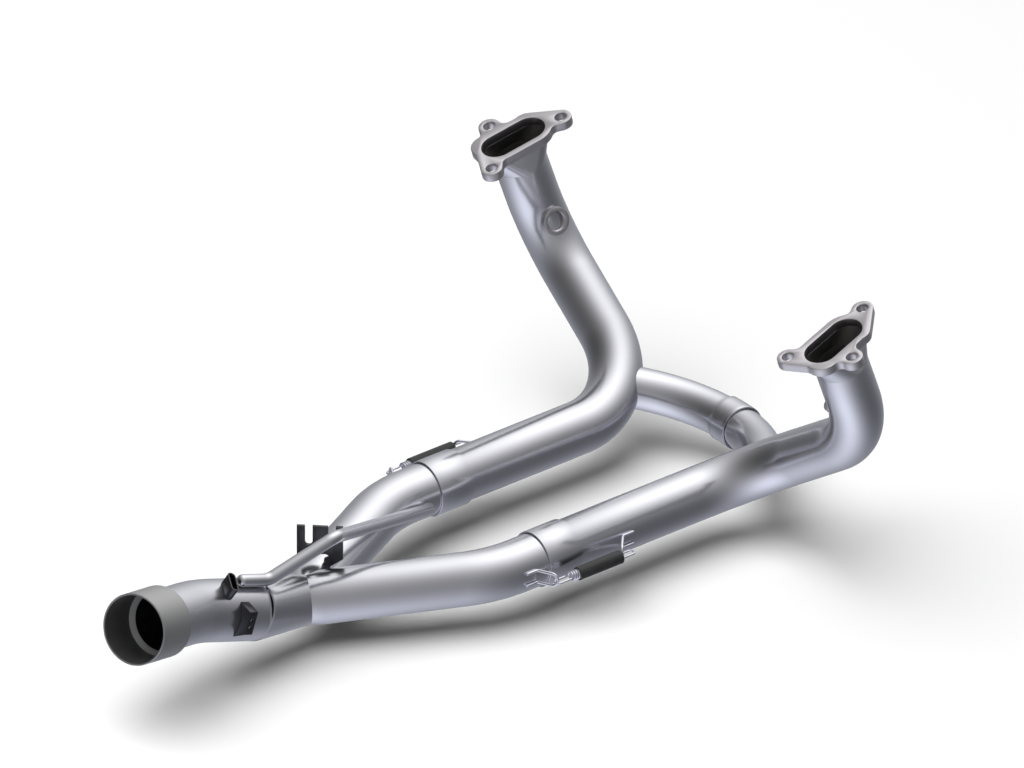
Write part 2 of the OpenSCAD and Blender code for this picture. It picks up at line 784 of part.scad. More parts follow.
// Cable bracket that stands in the crotch of the two branches
module cable_bracket() {
    color(bracket_grey) placed() difference() {
        translate([-fork_left, -fork_back, fork_top]) rotate([90, 0, fork_turn])
            translate([0, 0, -fork_t]) linear_extrude(fork_t) fork_outline();
        branch_bar(pipe_r + seat_gap, 0);
        mirrored() branch_bar(pipe_r + seat_gap, 0);
    }
}

// Places its children on the collector: x to the right, y up and z rearward
module on_body(at) {
    multmatrix(axes(rim_centre + at * body_dir, [1, 0, 0], body_up, body_dir)) children();
}

// Oblong loop that stands on the collector
socket_twist = 18;
module stop_socket() {
    half = (socket_l - socket_w) / 2;
    color(bracket_grey) placed() difference() {
        on_body(socket_at) rotate([0, 0, socket_angle]) rotate([0, 90, 0]) rotate([0, 0, 90 - socket_twist])
            translate([0, 0, body_or / 2]) linear_extrude(body_or / 2 + socket_h) difference() {
                oblong(half, socket_w);
                oblong(half, socket_w - 2 * socket_wall);
            }
        on_body(0) cylinder(h = 2 * socket_at, r = body_or + seat_gap);
    }
}

// Oblong with its ends some way either side of the middle
module oblong(half, width) {
    for (s = [-1, 1]) translate([s * half, 0]) circle(d = width);
    square([2 * half, width], center = true);
}

// Corners of the channel's web: out from the collector's axis as shares of its reach, and
// up from that axis as shares of its height
web_shares = [[0.3, 0.5], [0.541, 0.506], [1, 0.4], [1, -0.205], [0.506, -0.494], [0.3, -0.5]];
hole_shares = [0.3, 0.62];

module web_outline(inset) {
    offset(delta = -inset) polygon([for (p = web_shares) [p.x * channel_reach, p.y * channel_h]]);
}

// Channel bracket on the right of the collector, folded forward at its top and its side
module channel_bracket() {
    side_h = (web_shares[2].y - web_shares[3].y) * channel_h;
    color(bracket_grey) placed() difference() {
        on_body(channel_at) difference() {
            translate([0, 0, -channel_d]) linear_extrude(channel_d) web_outline(0);
            translate([0, -sheet_t, -channel_d - cut]) linear_extrude(channel_d + cut - sheet_t)
                translate([-sheet_t, 0]) web_outline(0);
            for (share = hole_shares)
                translate([channel_reach, web_shares[3].y * channel_h + share * side_h, -channel_d / 2])
                    rotate([0, 90, 0]) cylinder(h = 2 * (sheet_t + cut), d = channel_hole, center = true);
        }
        on_body(0) cylinder(h = 2 * channel_at, r = body_or + seat_gap);
    }
}

module right_flange() { placed() flange(); }
module left_flange() { placed() mirrored() flange(); }
module right_neck() { placed() neck(); }
module left_neck() { placed() mirrored() neck(); }
module right_header_tube() { placed() header_tube(); }
module left_header_tube() { placed() mirrored() header_tube(); }
module right_port_bend() { placed() port_bend(); }
module left_port_bend() { placed() mirrored() port_bend(); }
module right_sensor_boss() { placed() sensor_boss(); }
module left_sensor_boss() { placed() mirrored() sensor_boss(); }
module right_branch_tube() { placed() branch_tube(); }
module left_branch_tube() { placed() mirrored() branch_tube(); }
module right_header_hook() { placed() header_hook(); }
module left_header_hook() { placed() mirrored() header_hook(); }
module right_branch_hook() { placed() branch_hook(); }
module left_branch_hook() { placed() mirrored() branch_hook(); }
module right_spring() { placed() spring(); }
module left_spring() { placed() mirrored() spring(); }
module right_spring_cover() { placed() spring_cover(); }
module left_spring_cover() { placed() mirrored() spring_cover(); }

left_flange();
right_flange();
left_neck();
right_neck();
left_header_tube();
right_header_tube();
left_port_bend();
right_port_bend();
left_sensor_boss();
right_sensor_boss();
crossover_tube();
crossover_stub();
left_branch_tube();
right_branch_tube();
merge_collector();
collector_body();
outlet_sleeve();
left_header_hook();
right_header_hook();
left_branch_hook();
right_branch_hook();
left_spring();
right_spring();
left_spring_cover();
right_spring_cover();
brace_rod();
cable_bracket();
stop_socket();
channel_bracket();
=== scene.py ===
# %% [markdown]
# # A motorbike's two-into-one exhaust link pipe
# The real object is welded up from thin stainless tube: two bent headers with three-eared port
# flanges, a slip-jointed crossover between them, two branches held on by springs, and one short
# collector that ends in a wider sleeve. It stands here as one rigid part.
# Everything is in metres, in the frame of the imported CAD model: the middle of the outlet's mouth is
# the origin, +Y points forward along the straight pipes, +X to the machine's right and +Z up.

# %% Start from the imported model
import bpy
import bmesh
import math
from mathutils import Matrix, Vector


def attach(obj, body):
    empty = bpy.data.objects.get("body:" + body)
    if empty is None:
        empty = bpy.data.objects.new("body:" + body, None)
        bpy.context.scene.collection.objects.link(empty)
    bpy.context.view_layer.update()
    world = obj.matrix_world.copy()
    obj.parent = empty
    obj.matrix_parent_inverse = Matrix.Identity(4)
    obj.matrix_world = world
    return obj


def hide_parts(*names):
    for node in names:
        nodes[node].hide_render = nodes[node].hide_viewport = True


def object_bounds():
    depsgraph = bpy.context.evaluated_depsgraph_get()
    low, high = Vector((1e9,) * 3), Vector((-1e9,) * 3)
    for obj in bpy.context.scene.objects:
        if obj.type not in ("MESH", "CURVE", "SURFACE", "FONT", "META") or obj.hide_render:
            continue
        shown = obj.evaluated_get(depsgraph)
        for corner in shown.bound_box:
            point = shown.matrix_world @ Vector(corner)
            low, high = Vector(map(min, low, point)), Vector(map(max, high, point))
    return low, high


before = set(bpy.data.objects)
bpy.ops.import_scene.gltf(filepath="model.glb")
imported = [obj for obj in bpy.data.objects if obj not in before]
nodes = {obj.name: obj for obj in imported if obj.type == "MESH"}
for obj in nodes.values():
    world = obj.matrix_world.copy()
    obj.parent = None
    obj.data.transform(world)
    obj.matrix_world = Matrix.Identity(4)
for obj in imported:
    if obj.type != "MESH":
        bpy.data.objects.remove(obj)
cad_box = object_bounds()
print("nodes:", len(nodes), "box:", [tuple(round(v, 4) for v in corner) for corner in cad_box])

# %% [markdown]
# ## A frame for the pipes
# A pipe builder measures this part from its middle: how far to the right, how far ahead of the slip
# joints, how far above the straight pipes. Those are also the numbers that make the left side the
# mirror image of the right, so one helper turns them into a point of the model's own frame.

# %% Points and directions
MM = 0.001
OUTLET_MOUTH = Vector((25.5269, -377.157, 50.7144))


def at(right, ahead, up):
    """A point in metres, from its mm off the mid-plane, the slip joints and the pipe axis."""
    return (Vector((right, ahead, up)) - OUTLET_MOUTH) * MM


def facing(place, direction):
    """A placement with z along a direction."""
    return Matrix.Translation(place) @ direction.to_track_quat("Z", "Y").to_matrix().to_4x4()


MIDDLE = at(0, 0, 0)
print("mid-plane at x =", round(MIDDLE.x, 5), "slip joints at y =", round(MIDDLE.y, 5))

# %% [markdown]
# ## Colours and shader nodes
# Metal is named by the hex colour that a paint program would show, so it is turned from sRGB into
# the linear values that the shader works with. One small helper adds a node and sets its inputs, which
# keeps every material below short enough to read as a recipe.

# %% Colour and node helpers
def hex_colour(text):
    values = [int(text[i:i + 2], 16) / 255 for i in (1, 3, 5)]
    return [v / 12.92 if v <= 0.04045 else ((v + 0.055) / 1.055) ** 2.4 for v in values] + [1]


def add_node(tree, kind, settings=None, **inputs):
    """A new node of a tree, with its settings and its inputs; an input given as a socket is linked."""
    node = tree.nodes.new("ShaderNode" + kind)
    for key, value in (settings or {}).items():
        setattr(node, key, value)
    for key, value in inputs.items():
        socket = node.inputs[key.replace("_", " ")]
        if isinstance(value, bpy.types.NodeSocket):
            tree.links.new(value, socket)
        else:
            socket.default_value = value
    return node


print("mid grey in linear light:", round(hex_colour("#808080")[0], 3))

# %% [markdown]
# ## Stainless steel
# Every metal piece is the same alloy, and only its surface differs: drawn tube, ground plate, blasted
# sleeve, cold-rolled sheet and bright wire. What sets them apart for the eye is how wide the highlight
# spreads and what breaks it up. So one recipe takes the base colour, the range of the roughness, and the
# grain as a size in millimetres with its stretch along each axis. Large soft clouds shift the colour a
# little, as handling and heat do, and the fine grain drives both the roughness and a shallow bump.

# %% One recipe for the metals
finishes = {}


def metal(slot, name, light, dark, roughness, grain_mm, stretch, bump, cloud_mm=60):
    made = bpy.data.materials.new(name)
    finishes[slot] = made
    made.use_nodes = True
    tree = made.node_tree
    shader = tree.nodes["Principled BSDF"]
    shader.inputs["Metallic"].default_value = 1.0
    place = add_node(tree, "TexCoord").outputs["Object"]
    clouds = add_node(tree, "TexNoise", Vector=place, Scale=1 / (cloud_mm * MM), Detail=3.0)
    tint = add_node(tree, "Mix", {"data_type": "RGBA"}, Factor=clouds.outputs["Fac"])
    tint.inputs["A"].default_value = hex_colour(dark)
    tint.inputs["B"].default_value = hex_colour(light)
    drawn = add_node(tree, "Mapping", Vector=place, Scale=stretch)
    grain = add_node(tree, "TexNoise", Vector=drawn.outputs["Vector"], Scale=1 / (grain_mm * MM),
                     Detail=4.0)
    rough = add_node(tree, "MapRange", Value=grain.outputs["Fac"], To_Min=roughness[0],
                     To_Max=roughness[1])
    relief = add_node(tree, "Bump", Height=grain.outputs["Fac"], Strength=bump, Distance=0.02 * MM)
    tree.links.new(tint.outputs["Result"], shader.inputs["Base Color"])
    tree.links.new(rough.outputs["Result"], shader.inputs["Roughness"])
    tree.links.new(relief.outputs["Normal"], shader.inputs["Normal"])


# %% [markdown]
# Five finishes, and a sixth for the insides of the tubes. The tube is drawn along the machine, so its
# grain is long in Y, and its highlight is tight enough to show a bright line with soft edges. The flange
# plate is ground, which spreads the light evenly over its top. The outlet sleeve is blasted and so nearly
# matt. The brackets are dull sheet with a dark grey colour that is painted shade, standing in for the
# dark their flat faces show, and the wire is the brightest of them, because it is drawn hard and small.
# Inside the ports the bare wall is rough, and its darker colour is painted shade that makes the openings
# look deep.

# %% The metals
metal("pipe_steel", "drawn_tube_steel", "#d5d5da", "#cfcfd5", (0.22, 0.25), 0.6, (1.0, 0.12, 1.0), 0.02)
metal("plate_steel", "ground_plate_steel", "#cecbce", "#c4c1c4", (0.36, 0.42), 0.5, (0.25, 1.0, 1.0), 0.10)
metal("sleeve_steel", "blasted_sleeve_steel", "#bcbcbb", "#b2b2b1", (0.5, 0.58), 0.4, (1.0, 1.0, 1.0), 0.15)
# Painted shade: the brackets' dark grey colour stands in for the shade on their flat faces.
metal("bracket_steel", "painted_shade_sheet_steel", "#56565a", "#4b4b4e", (0.34, 0.40), 0.5, (1.0, 1.0, 0.2), 0.10)
metal("wire_steel", "bright_wire_steel", "#e6e6ee", "#dadae4", (0.16, 0.26), 0.4, (1.0, 1.0, 1.0), 0.08, 20)
# Painted shade: the darker colour inside the tubes stands in for the shade deep in the openings.
metal("inside", "painted_shade_inside_steel", "#8e8c8a", "#807e7c", (0.55, 0.65), 0.8, (1.0, 1.0, 1.0), 0.2)
print("metals:", {slot: made.name for slot, made in finishes.items()})

# %% [markdown]
# ## Rubber
# The spring covers are black heat-proof rubber. It isn't plain black to the eye: the moulded skin has a
# fine pebbled sheen, and dust sits on it in pale patches. The patches lighten the colour and raise the
# roughness together, and a fine noise gives the pebbles.

# %% Rubber
finishes["rubber"] = bpy.data.materials.new("hose_rubber")
finishes["rubber"].use_nodes = True
tree = finishes["rubber"].node_tree
place = add_node(tree, "TexCoord").outputs["Object"]
dust = add_node(tree, "TexNoise", Vector=place, Scale=1 / (9 * MM), Detail=5.0)
pebbles = add_node(tree, "TexNoise", Vector=place, Scale=1 / (0.5 * MM), Detail=2.0)
black = add_node(tree, "Mix", {"data_type": "RGBA"}, Factor=dust.outputs["Fac"])
black.inputs["A"].default_value = hex_colour("#141414")
black.inputs["B"].default_value = hex_colour("#2e2e30")
matt = add_node(tree, "MapRange", Value=dust.outputs["Fac"], To_Min=0.38, To_Max=0.62)
relief = add_node(tree, "Bump", Height=pebbles.outputs["Fac"], Strength=0.3, Distance=0.05 * MM)
shader = tree.nodes["Principled BSDF"]
tree.links.new(black.outputs["Result"], shader.inputs["Base Color"])
tree.links.new(matt.outputs["Result"], shader.inputs["Roughness"])
tree.links.new(relief.outputs["Normal"], shader.inputs["Normal"])
print("rubber:", len(tree.nodes), "nodes")

# %% [markdown]
# ## Turning a mesh under construction into a piece
# Each piece ends the same way. The left one is the mirror image of the right one. Doubles are merged and
# the normals turned outward before a wall is given its thickness. Then the sharp edges get a small
# rounding, because a real cut edge is never a knife and the rounding is what catches the light. Faces
# are shaded smooth except across the edges that stay sharp.

# %% Finish a piece
def sharp_edges(bm, degrees):
    limit = math.radians(degrees)
    return [e for e in bm.edges if len(e.link_faces) == 2 and e.calc_face_angle(0) > limit]


def open_edges(bm):
    return [e for e in bm.edges if e.is_boundary]


def finish_piece(bm, name, slot, stands_for, wall=0, side=1, rounding=0, smooth_to=32, shade_inside=False):
    if side < 0:
        bmesh.ops.scale(bm, vec=(-1, 1, 1), space=Matrix.Translation(-MIDDLE), verts=bm.verts)
    bmesh.ops.remove_doubles(bm, verts=bm.verts, dist=0.001 * MM)
    bmesh.ops.recalc_face_normals(bm, faces=bm.faces)
    if wall:
        skin = set(bm.verts)
        bmesh.ops.solidify(bm, geom=bm.faces, thickness=wall * MM)
        # Inner wall faces take the second material, whose darker colour is painted shade.
        for face in bm.faces:
            face.material_index = int(shade_inside and not skin & set(face.verts))
    if rounding:
        bmesh.ops.bevel(bm, geom=sharp_edges(bm, 50), offset=rounding * MM, segments=2, profile=0.5,
                        affect="EDGES", material=-1)
    for face in bm.faces:
        face.smooth = True
    for edge in sharp_edges(bm, smooth_to):
        edge.smooth = False
    mesh = bpy.data.meshes.new(name)
    bm.to_mesh(mesh)
    bm.free()
    piece = bpy.data.objects.new(name, mesh)
    bpy.context.scene.collection.objects.link(piece)
    mesh.materials.append(finishes[slot])
    if shade_inside:
        mesh.materials.append(finishes["inside"])
    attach(piece, "root")
    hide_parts(*stands_for)
    print(name, "faces:", len(mesh.polygons))
    return piece


# %% [markdown]
# ## Bending tube
# A pipe builder starts with a round section and pushes it along, bends it round a former, or swages it
# to another size. Three operators do exactly that: extrude for a straight, spin for a bend about its
# centre, and scale for a cone. A ring of edges is what travels, so each helper takes a ring and gives
# back the next one.

# %% Push, bend and swage a ring
SIDES = 64
BEND_STEP = math.radians(3)


def ring_verts(ring):
    return list({v for e in ring for v in e.verts})


def start_ring(bm, place, direction, radius, sides=SIDES):
    made = bmesh.ops.create_circle(bm, segments=sides, radius=radius * MM,
                                   matrix=facing(place, direction))
    return list({e for v in made["verts"] for e in v.link_edges})


def push(bm, ring, step, size=1.0):
    """The ring moves on by a step, and a size other than 1 makes a cone."""
    grown = bmesh.ops.extrude_edge_only(bm, edges=ring)["geom"]
    verts = [g for g in grown if isinstance(g, bmesh.types.BMVert)]
    bmesh.ops.translate(bm, verts=verts, vec=step)
    if size != 1.0:
        middle = sum((v.co for v in verts), Vector()) / len(verts)
        bmesh.ops.scale(bm, vec=(size,) * 3, space=Matrix.Translation(-middle), verts=verts)
    new = set(verts)
    return [g for g in grown if isinstance(g, bmesh.types.BMEdge) and set(g.verts) <= new]


def bend(bm, ring, centre, axis, angle, slide=(0, 0, 0), step=BEND_STEP):
    """The ring turns about a centre; a slide at each step makes a coil."""
    count = max(2, math.ceil(abs(angle) / step))
    turned = bmesh.ops.spin(bm, geom=ring_verts(ring) + ring, cent=centre, axis=axis, angle=angle,
                            steps=count, dvec=[c / count for c in slide], use_merge=False)["geom_last"]
    return [g for g in turned if isinstance(g, bmesh.types.BMEdge)]


def corner_bend(bm, ring, corner, before, after, radius, start=0.0, end=None):
    """The ring goes round a corner of the centreline, or over a part of that bend."""
    full = before.angle(after)
    inward = (after - before * before.dot(after)).normalized()
    centre = corner - before * radius * MM * math.tan(full / 2) + inward * radius * MM
    angle = (full if end is None else end) - start
    return bend(bm, ring, centre, before.cross(after).normalized(), angle)


def run_pipe(bm, path, bends, radius, sides=SIDES):
    """A tube's skin along the corners of its centreline, with a true arc at each."""
    ways = [(b - a).normalized() for a, b in zip(path, path[1:])]
    cuts = [0] + [r * MM * math.tan(a.angle(b) / 2) for r, a, b in zip(bends, ways, ways[1:])] + [0]
    ring = start_ring(bm, path[0], ways[0], radius, sides)
    for i, way in enumerate(ways):
        ring = push(bm, ring, way * ((path[i + 1] - path[i]).length - cuts[i] - cuts[i + 1]))
        if i < len(bends):
            ring = corner_bend(bm, ring, path[i + 1], way, ways[i + 1], bends[i])
    return ring


print("bends are drawn in steps of", round(math.degrees(BEND_STEP)), "degrees")

# %% [markdown]
# ## The two headers
# Each header is a 45 mm stainless tube, expanded over 32 mm at its rear end so that the branch slips
# into it, then bent outward and up to the port. A bender makes it in one go with two formers. The same
# moves make the mesh: a wide ring, a short cone down to the tube, three straights and two bends.

# %% Headers
WALL = 1.35
TRACK = 71.6
PIPE_R, SLEEVE_R = 22.5, 24.1
SLEEVE_L, SWAGE_L = 32, 3
HEADER_BENDS = [73.5, 80.3]
corner_1 = at(TRACK, 231.5, 0)
corner_2 = at(211.4, 236.432, 97.4077)
header_end = at(211.4, 209.363, 174.705)
AHEAD = Vector((0, 1, 0))
SIDE_NAMES = (("right", 1), ("left", -1))
for side_name, side in SIDE_NAMES:
    bm = bmesh.new()
    ring = start_ring(bm, at(TRACK, 0, 0), AHEAD, SLEEVE_R)
    ring = push(bm, ring, AHEAD * SLEEVE_L * MM)
    ring = push(bm, ring, AHEAD * SWAGE_L * MM, PIPE_R / SLEEVE_R)
    path = [at(TRACK, SLEEVE_L + SWAGE_L, 0), corner_1, corner_2, header_end]
    run_pipe(bm, path, HEADER_BENDS, PIPE_R)
    finish_piece(bm, f"{side_name}_header", "pipe_steel",
                 [f"{side_name}_header_tube", f"{side_name}_port_bend"],
                 wall=WALL, side=side, rounding=0.25, shade_inside=True)

# %% [markdown]
# ## Rings that aren't round
# A port is an oblong and the merge's rear rim has two shoulders. Both are outlines drawn round a few
# circles, as a belt runs round pulleys. A unit circle gives the directions, and each of its points moves
# out to the pulley that reaches furthest that way. Such a ring bridges cleanly to a round one.

# %% Belt round pulleys
def belt_ring(bm, placement, pulleys, sides=SIDES):
    made = bmesh.ops.create_circle(bm, segments=sides, radius=1)["verts"]
    for vert in made:
        out = vert.co.copy()
        x, y, radius = max(pulleys, key=lambda p: p[0] * out.x + p[1] * out.y + p[2])
        vert.co = (Vector((x, y, 0)) + out * radius) * MM
    bmesh.ops.transform(bm, matrix=placement, verts=made)
    return list({e for v in made for e in v.link_edges})


# %% [markdown]
# ## The port necks
# Between the round tube and the oblong port sits a short transition, which is pressed from tube on the
# real part. Two rings and a bridge between them make it.

# %% Port necks
FLANGE_T, LEAN = 8, math.radians(15.1)
PORT_L, PORT_W, PORT_TURN = 58, 28, math.radians(8)
flange_frame = Matrix.Translation(at(211.4, 201.1, 198.3)) @ Matrix.Rotation(LEAN, 4, "X")
port_shift = Matrix.Translation(Vector((-0.75, 0.5, 0)) * MM)
port_frame = flange_frame @ port_shift @ Matrix.Rotation(PORT_TURN, 4, "Z")
pipe_up = Vector((0, -0.330514, 0.943801))
for side_name, side in SIDE_NAMES:
    bm = bmesh.new()
    ends = [(0, s * (PORT_L - PORT_W) / 2, PORT_W / 2 + 1.5) for s in (1, -1)]
    top = belt_ring(bm, port_frame @ Matrix.Translation((0, 0, -(FLANGE_T + 0.1) * MM)), ends)
    low = start_ring(bm, header_end + pipe_up * 0.1 * MM, pipe_up, PIPE_R)
    bmesh.ops.bridge_loops(bm, edges=top + low)
    finish_piece(bm, f"{side_name}_port_neck", "pipe_steel", [f"{side_name}_neck"],
                 wall=WALL, side=side, shade_inside=True)

# %% [markdown]
# ## The branches
# The rear pair of tubes slips into the headers, swings inward and narrows a little where it enters the
# merge. The two meet on the mid-plane, so each is cut there, and its wall is given after the cut so that
# the cut edge has its true thickness.

# %% Branches
branch_corner = at(TRACK, -42, 0)
mouth = at(2.5, -180.6, -3.4)
TAPER_L, MOUTH_R, BRANCH_BEND = 10, 21.3, 105
way_in = (mouth - branch_corner).normalized()
for side_name, side in SIDE_NAMES:
    bm = bmesh.new()
    path = [at(TRACK, 30, 0), branch_corner, mouth - way_in * TAPER_L * MM]
    ring = run_pipe(bm, path, [BRANCH_BEND], PIPE_R)
    push(bm, ring, way_in * TAPER_L * MM, MOUTH_R / PIPE_R)
    bmesh.ops.bisect_plane(bm, geom=bm.verts[:] + bm.edges[:] + bm.faces[:], plane_co=at(0.05, 0, 0),
                           plane_no=(1, 0, 0), clear_inner=True)
    finish_piece(bm, f"{side_name}_branch", "pipe_steel", [f"{side_name}_branch_tube"],
                 wall=WALL, side=side)

# %% [markdown]
# ## The merge
# The two branches run into one collector through a pair of lofted shells, welded along the mid-plane.
# Each shell goes from a round mouth to the shouldered rim. One shell is bridged, cut at the mid-plane
# and mirrored, which leaves the same sharp crotch between them as the weld has. Its rear wall turns in
# to the collector pipe.

# %% Merge collector
RIM_T, BODY_R = 2, 26
rim_centre = at(0, -236, 6)
body_dir = Vector((0, -0.946909, 0.321501))
body_up = Vector((0, 0.321501, 0.946909))
rim_frame = Matrix.Translation(rim_centre) @ Matrix((
    (1, 0, 0), (0, body_up.y, -body_dir.y), (0, body_up.z, -body_dir.z))).to_4x4()
shoulders = [(0, 0, BODY_R + 0.3), (8, 5, 20), (-8, 5, 20)]
bm = bmesh.new()
small = start_ring(bm, mouth, way_in, MOUTH_R)
rim = belt_ring(bm, rim_frame @ Matrix.Translation((0, 0, RIM_T * MM)), shoulders)
loft = bmesh.ops.bridge_loops(bm, edges=small + rim)
long_edges = [e for e in loft["edges"] if e.calc_length() > 20 * MM]
bmesh.ops.subdivide_edges(bm, edges=long_edges, cuts=10)
rim = push(bm, rim, body_dir * RIM_T * MM)
push(bm, rim, Vector((0, 0, 0)), 0.93)
bmesh.ops.bisect_plane(bm, geom=bm.verts[:] + bm.edges[:] + bm.faces[:], plane_co=at(0, 0, 0),
                       plane_no=(1, 0, 0), clear_inner=True)
bmesh.ops.mirror(bm, geom=bm.verts[:] + bm.edges[:] + bm.faces[:], axis="X", merge_dist=0.01 * MM,
                 matrix=Matrix.Translation(-MIDDLE))
finish_piece(bm, "merge_shell", "pipe_steel", ["merge_collector"], wall=1.0, smooth_to=40)

# %% [markdown]
# ## The collector pipe and its outlet
# One 52 mm tube with a slight bend to the right carries the gas on, and a wider sleeve takes the next
# pipe. The sleeve is turned, so it is a profile spun about its axis: a cone inside its front end, a
# bore, and a square-cut mouth whose edges are barely broken.

# %% Collector pipe
COLLECTOR_BEND = 100
body_corner = at(0, -295.2, 26.1)
sleeve_front = at(14.0927, -340.446, 39.6889)
tail_dir = Vector((0.285855, -0.917775, 0.275637))
bm = bmesh.new()
run_pipe(bm, [rim_centre, body_corner, sleeve_front], [COLLECTOR_BEND], BODY_R, 72)
finish_piece(bm, "collector_pipe", "pipe_steel", ["collector_body"], wall=WALL)


# %% Turned profiles
def turn_profile(bm, placement, profile, steps=96):
    """Spins a closed profile of (radius, along) points in mm about the z axis of a placement."""
    points = [bm.verts.new((r * MM, 0, h * MM)) for r, h in profile]
    edges = [bm.edges.new((a, b)) for a, b in zip(points, points[1:] + points[:1])]
    bmesh.ops.spin(bm, geom=points + edges, cent=(0, 0, 0), axis=(0, 0, 1), angle=2 * math.pi,
                   steps=steps, use_merge=True)
    bmesh.ops.transform(bm, matrix=placement, verts=bm.verts)


bm = bmesh.new()
turn_profile(bm, facing(sleeve_front, tail_dir), [
    (24.6, 0), (29.4, 0), (30, 0.6), (30, 39.6), (29.6, 40), (28.8, 40), (28.5, 39.7),
    (28.5, 4), (24.6, 0.5)])
finish_piece(bm, "outlet_cup", "sleeve_steel", ["outlet_sleeve"], smooth_to=25)

# %% [markdown]
# ## The crossover
# A smaller tube joins the headers ahead of their first bends. It is made in two so that the headers can
# be set apart: the long side is welded on the left, its end opened out a little, and the short side
# slips into it. Both follow one arc, so the long side is bent most of the way, swells, and goes on.

# %% Crossover
CROSS_R, CROSS_BEND = 17.75, 99.9
cross_left = at(-90.7771, 213.851, 13.3619)
cross_corner = at(0, 356.807, -27.63)
cross_dir = Vector((0.52101, 0.820486, -0.23527)).normalized()
cross_back = Vector((0.52101, -0.820486, 0.23527)).normalized()
half_turn = cross_dir.angle(cross_back) / 2


def crossover(name, past, swell_from, swell, stands_for, side):
    """Tube from a header to some way past the mid-plane, wider over its last stretch."""
    bm = bmesh.new()
    start = cross_left + cross_dir * ((cross_corner - cross_left).length
                                      - CROSS_BEND * MM * math.tan(half_turn))
    ring = push(bm, start_ring(bm, cross_left, cross_dir, CROSS_R, 48), start - cross_left)
    stops = [half_turn + s / CROSS_BEND for s in ((past - swell_from, past) if swell else (past,))]
    turned = 0.0
    for i, stop in enumerate(stops):
        if i:
            ring = push(bm, ring, Vector((0, 0, 0)), 1 + swell / CROSS_R)
        ring = corner_bend(bm, ring, cross_corner, cross_dir, cross_back, CROSS_BEND, turned, stop)
        turned = stop
    finish_piece(bm, name, "pipe_steel", [stands_for], wall=WALL, side=side, rounding=0.2)


crossover("crossover_long", 10, 22.5, 1.75, "crossover_tube", 1)
crossover("crossover_short", 8, 0, 0, "crossover_stub", -1)

# %% [markdown]
# ## Port flanges, bosses and brackets
# These are cut plate and turned blanks, and the CAD model already has their outlines and holes. What it
# lacks is the broken edge that every such piece has. A copy of each mesh is merged, its flat faces are
# joined back into single faces, and its sharp edges are rounded by a few tenths of a millimetre.

# %% Broken edges on plate
def break_edges(node, name, slot, rounding):
    bm = bmesh.new()
    bm.from_mesh(nodes[node].data)
    bmesh.ops.remove_doubles(bm, verts=bm.verts, dist=0.002 * MM)
    bmesh.ops.dissolve_limit(bm, angle_limit=math.radians(0.6), verts=bm.verts, edges=bm.edges)
    return finish_piece(bm, name, slot, [node], rounding=rounding)


for side_name, side in SIDE_NAMES:
    break_edges(f"{side_name}_flange", f"{side_name}_port_flange", "plate_steel", 0.6)
    break_edges(f"{side_name}_sensor_boss", f"{side_name}_boss", "plate_steel", 0.35)
break_edges("cable_bracket", "fork_plate", "bracket_steel", 0.25)
break_edges("stop_socket", "stop_loop", "bracket_steel", 0.2)
break_edges("channel_bracket", "folded_channel", "bracket_steel", 0.25)

# %% [markdown]
# The sensor screws into an M18 x 1.5 thread. In the hole the thread shows as fine rings, so a small ridge
# is spun about the bore and slides one pitch along it with each turn.

# %% Threads in the bosses
BOSS_BORE, PITCH, TURNS = 8.45, 1.5, 3
boss_on = at(207.383, 229.144, 115.015)
boss_dir = Vector((-0.949901, -0.136019, 0.2814)).normalized()
for side_name, side in SIDE_NAMES:
    bm = bmesh.new()
    ridge = [bm.verts.new((r * MM, 0, h * MM)) for r, h in ((8.6, 20.7), (8.1, 21.2), (8.6, 21.7))]
    edges = [bm.edges.new((a, b)) for a, b in zip(ridge, ridge[1:])]
    steps = 36 * TURNS
    bmesh.ops.spin(bm, geom=ridge + edges, cent=(0, 0, 0), axis=(0, 0, 1), angle=2 * math.pi * TURNS,
                   steps=steps, dvec=(0, 0, PITCH * TURNS * MM / steps))
    bmesh.ops.transform(bm, matrix=facing(boss_on, boss_dir), verts=bm.verts)
    finish_piece(bm, f"{side_name}_boss_thread", "plate_steel", [], wall=0.1, side=side)

# %% [markdown]
# ## Spring hooks
# A bent wire with two feet is welded along each pipe, and its nose holds the spring's end loop. It is
# bent like the pipes, from a ring of sixteen sides, and its cut ends are filled.

# %% Hooks
HOOK_R, HALF_W, SPRING_X = 1.3, 5.5, 39.4
FOOT_X = math.sqrt((PIPE_R + HOOK_R + 0.05) ** 2 - HALF_W ** 2)


def wire_hook(name, stands_for, foot, knee, nose, side):
    lay = [(FOOT_X, foot), (FOOT_X, knee), (SPRING_X, nose)]
    path = [at(TRACK + x, y, HALF_W) for x, y in lay]
    path += [at(TRACK + x, y, -HALF_W) for x, y in reversed(lay)]
    bm = bmesh.new()
    run_pipe(bm, path, [2.6, 5.45, 5.45, 2.6], HOOK_R, 16)
    bmesh.ops.holes_fill(bm, edges=open_edges(bm))
    finish_piece(bm, name, "wire_steel", [stands_for], side=side, rounding=0.2)


REAR_NOSE, FRONT_NOSE = -5.35, 61.35
for side_name, side in SIDE_NAMES:
    wire_hook(f"{side_name}_rear_hook", f"{side_name}_branch_hook", REAR_NOSE - 19.5, REAR_NOSE - 8.5,
              REAR_NOSE, side)
    wire_hook(f"{side_name}_front_hook", f"{side_name}_header_hook", FRONT_NOSE + 25, FRONT_NOSE + 14,
              FRONT_NOSE, side)

# %% [markdown]
# ## Springs
# Each slip joint is pulled together by a close-wound spring with a loop at each end. The wire is one
# ring of ten sides that travels: half round for the loop, a straight, a quarter turn out of the loop's
# plane, then twenty-two turns of coil, which is a spin with a slide, and the same end backwards.

